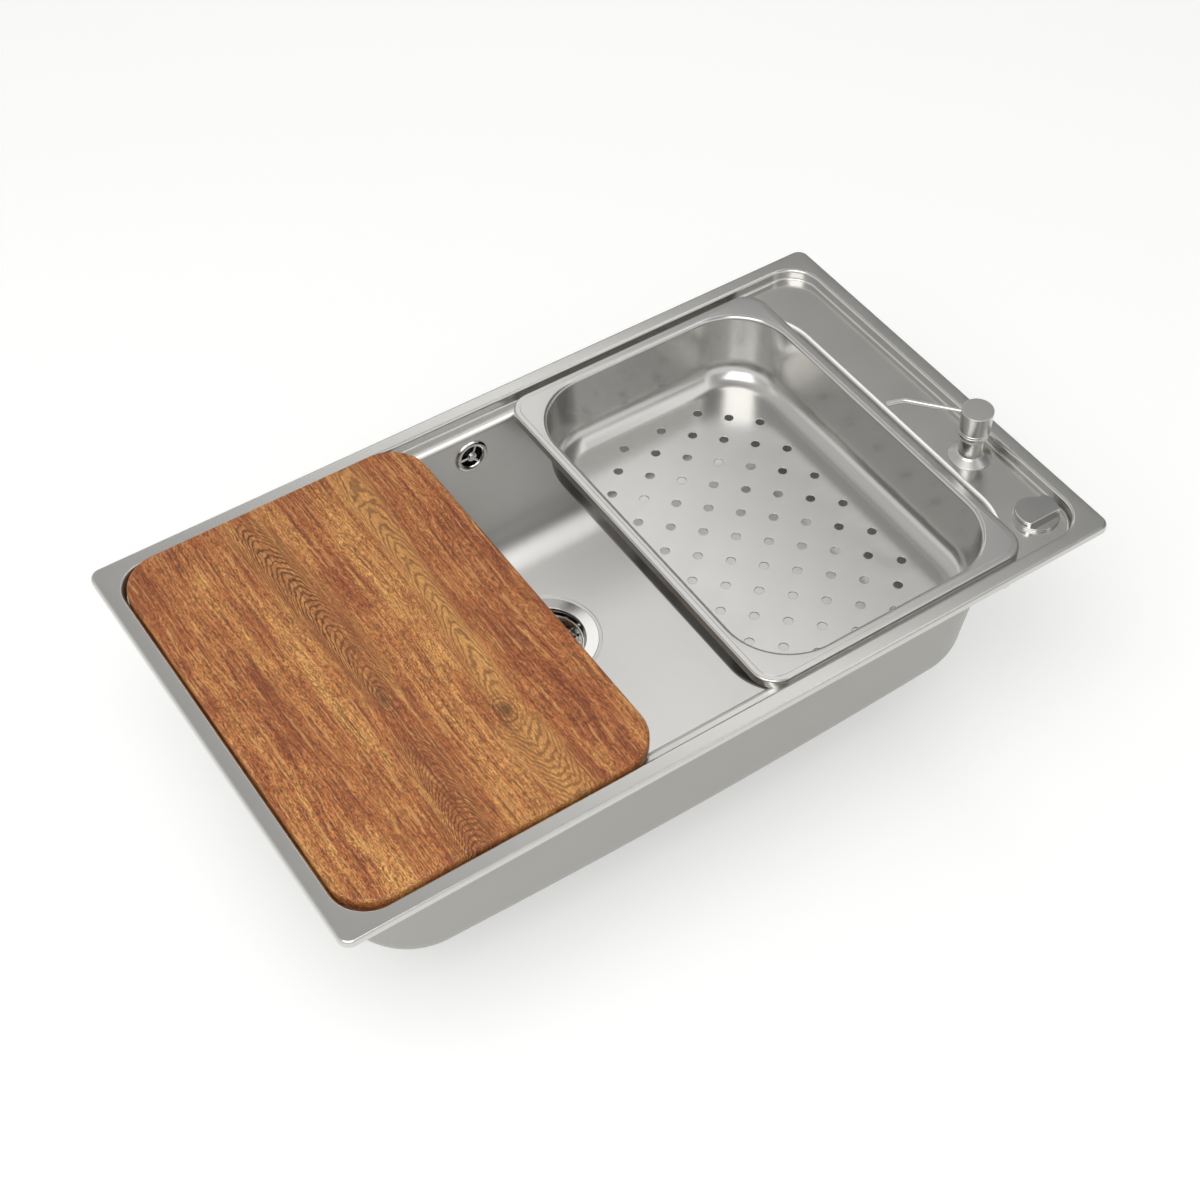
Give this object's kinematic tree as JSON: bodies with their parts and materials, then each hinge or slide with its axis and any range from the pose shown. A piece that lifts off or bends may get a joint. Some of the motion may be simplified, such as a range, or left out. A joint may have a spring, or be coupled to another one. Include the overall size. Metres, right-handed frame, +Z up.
{
  "type": "kitchen sink",
  "caption": "Inset stainless steel sink with one large bowl, a side deck with soap dispenser and pop-up waste knob, a sliding colander and a wooden board.",
  "frame": {"origin": "middle of the rim, on the worktop's surface (the underside of the rim's lip)", "axes": "+X to the deck at the right, +Y to the back, +Z up"},
  "size_m": [0.86, 0.5, 0.3427],
  "materials": {
    "satin_stainless": "satin, brushed along the rim",
    "fine_satin_stainless": "fine satin",
    "polished_steel": "polished",
    "zinc_plated_steel": "zinc plated, dull",
    "black_rubber": "matt",
    "black_cable_sheath": "smooth",
    "dark_grey_plastic": "fine moulded",
    "white_plastic": "fine moulded",
    "clear_plastic": "milky translucent",
    "oiled_wood": "oiled, open grain"
  },
  "bodies": {
    "sink": {"sink_top": "satin_stainless", "sink_bowl": "satin_stainless", "rim_seal": "black_rubber", "clip_rails": "zinc_plated_steel", "clip_jaws": "zinc_plated_steel", "clip_screws": "zinc_plated_steel", "overflow_rosette": "polished_steel", "overflow_screw": "polished_steel", "overflow_gasket": "black_rubber", "overflow_elbow": "dark_grey_plastic", "overflow_hose": "dark_grey_plastic", "hose_nut_top": "white_plastic", "hose_nut_bottom": "white_plastic", "strainer_flange": "fine_satin_stainless", "waste_gasket": "black_rubber", "waste_body": "dark_grey_plastic", "waste_screw": "polished_steel", "lever_pin": "polished_steel", "control_cable": "black_cable_sheath", "knob_bezel": "polished_steel", "knob_washer": "black_rubber", "knob_nut": "dark_grey_plastic", "knob_housing": "dark_grey_plastic", "dispenser_collar": "polished_steel", "dispenser_washer": "black_rubber", "dispenser_nut": "dark_grey_plastic", "soap_bottle": "clear_plastic", "pump_body": "white_plastic", "pump_spring": "polished_steel", "dip_tube": "clear_plastic"},
    "knob": {"popup_knob": "polished_steel", "cable_drum": "white_plastic"},
    "basket": {"strainer_basket": "fine_satin_stainless", "basket_seal": "black_rubber", "lift_pin": "polished_steel"},
    "lever": {"lift_lever": "dark_grey_plastic"},
    "piston": {"pump_piston": "white_plastic"},
    "head": {"pump_head": "polished_steel", "pump_spout": "polished_steel"},
    "colander": {"colander": "fine_satin_stainless"},
    "board": {"cutting_board": "oiled_wood"}
  },
  "joints": [
    {"name": "knob_turn", "type": "hinge", "parent": "sink", "child": "knob", "pos_m": [0.3846, -0.192, 0], "axis": [0, 0, 1], "range_deg": [0, 90]},
    {"name": "basket_lift", "type": "slide", "parent": "sink", "child": "basket", "axis": [0, 0, 1], "range_m": [0, 0.01]},
    {"name": "lever_turn", "type": "hinge", "parent": "sink", "child": "lever", "pos_m": [0.0045, 0.076, -0.2547], "axis": [0, 1, 0], "range_deg": [0, 22.62]},
    {"name": "pump_press", "type": "slide", "parent": "sink", "child": "piston", "axis": [0, 0, 1], "range_m": [-0.012, 0], "stiffness_N_per_m": 300, "springref_m": 0.01, "deforming": ["pump_spring"]},
    {"name": "pump_swivel", "type": "hinge", "parent": "piston", "child": "head", "pos_m": [0.3846, -0.0915, 0.04], "axis": [0, 0, 1], "continuous": true},
    {"name": "colander_slide", "type": "slide", "parent": "sink", "child": "colander", "axis": [1, 0, 0], "range_m": [-0.115, 0.015]},
    {"name": "board_lift", "type": "slide", "parent": "sink", "child": "board", "axis": [0, 0, 1], "range_m": [0, 0.06]}
  ],
  "couplings": [
    {"joint": "knob_turn", "follows": "basket_lift", "rad_per_m": 157.08},
    {"joint": "lever_turn", "follows": "basket_lift", "rad_per_m": 39.479}
  ]
}
